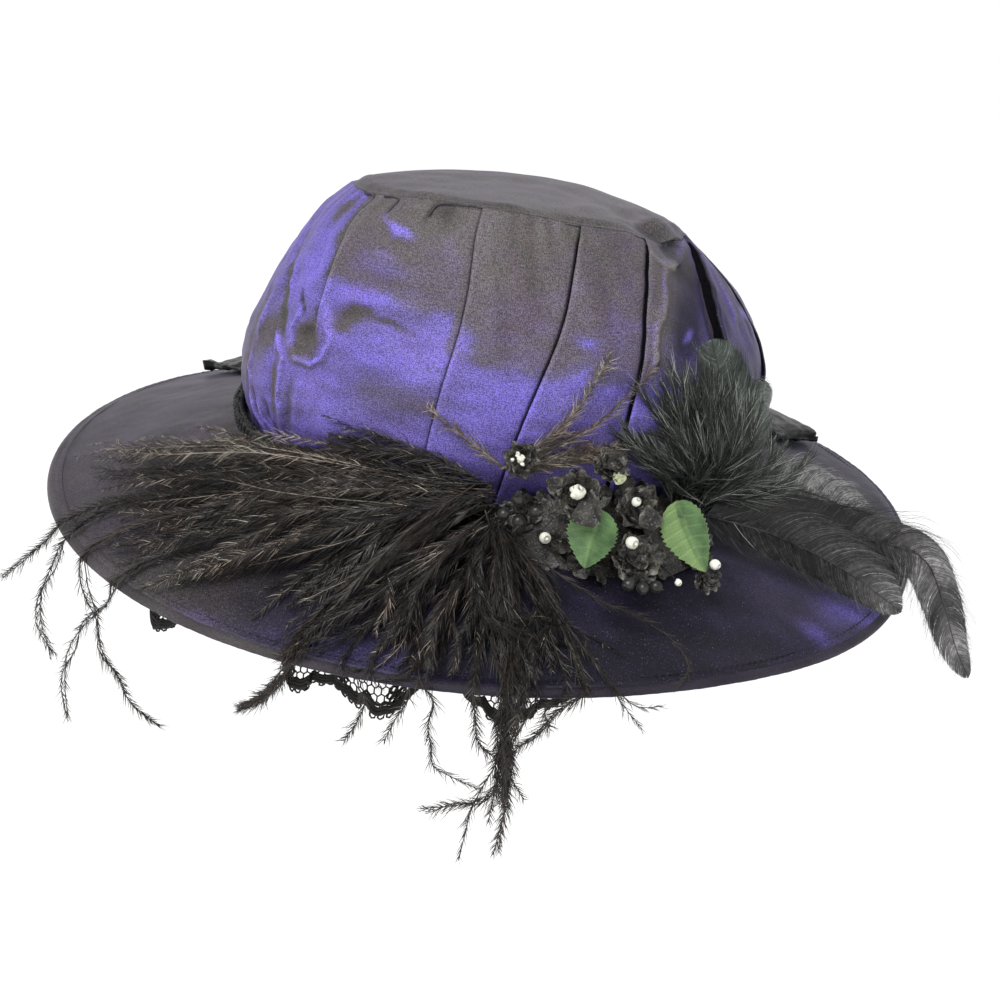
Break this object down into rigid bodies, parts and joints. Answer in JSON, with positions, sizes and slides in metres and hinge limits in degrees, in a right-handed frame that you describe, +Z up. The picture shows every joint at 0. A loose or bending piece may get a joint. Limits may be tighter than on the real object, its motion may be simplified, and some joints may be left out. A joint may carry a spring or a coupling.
{
  "type": "victorian hat",
  "caption": "Wide-brimmed soft-crowned taffeta dress hat with feather spray, flowers, leaves, braid, lace under the brim and a bow.",
  "frame": {"origin": "centre of the head opening, level with the foot of the crown", "axes": "+Z up the crown, -Y towards the trimmed front, +X to the wearer's left"},
  "size_m": [0.378, 0.3373, 0.1938],
  "materials": {
    "taffeta": "shot taffeta, purple one way and grey-black the other, soft sheen",
    "edge": "dark rolled taffeta edge with topstitching",
    "braid": "matt knobbly gimp braid",
    "lace": "matt black scalloped lace",
    "ostrich": "brown-black feather strands with a bronze sheen",
    "coque": "greenish black feather, satin",
    "organza": "crisp black organza",
    "stamen": "waxed cream bead",
    "leaf": "pressed green cloth",
    "berry": "soft black lacquer",
    "satin": "glossy black satin ribbon"
  },
  "bodies": {
    "root": {"crown_side": "taffeta", "crown_tip": "taffeta", "crown_braid": "braid", "brim": "taffeta", "brim_rolled_edge": "edge", "lace_ruffle": "lace", "flower_backing": "organza", "leaf_left": "leaf", "leaf_right": "leaf", "blossom_1": "organza", "blossom_2": "organza", "blossom_3": "organza", "blossom_4": "organza", "blossom_5": "organza", "blossom_6": "organza", "berries_left": "berry", "berries_right": "berry", "stamen_1": "stamen", "stamen_2": "stamen", "stamen_3": "stamen", "stamen_4": "stamen", "stamen_5": "stamen", "stamen_6": "stamen", "stamen_7": "stamen", "coque_feather_1": "coque", "coque_feather_2": "coque", "coque_feather_3": "coque", "coque_feather_4": "coque", "coque_feather_5": "coque", "coque_feather_6": "coque", "hackle_tuft": "coque", "ostrich_wisps": "ostrich", "ostrich_spray": "ostrich", "ostrich_fall": "ostrich", "bow_knot": "satin", "bow_loop_left": "satin", "bow_loop_right": "satin"}
  },
  "joints": []
}
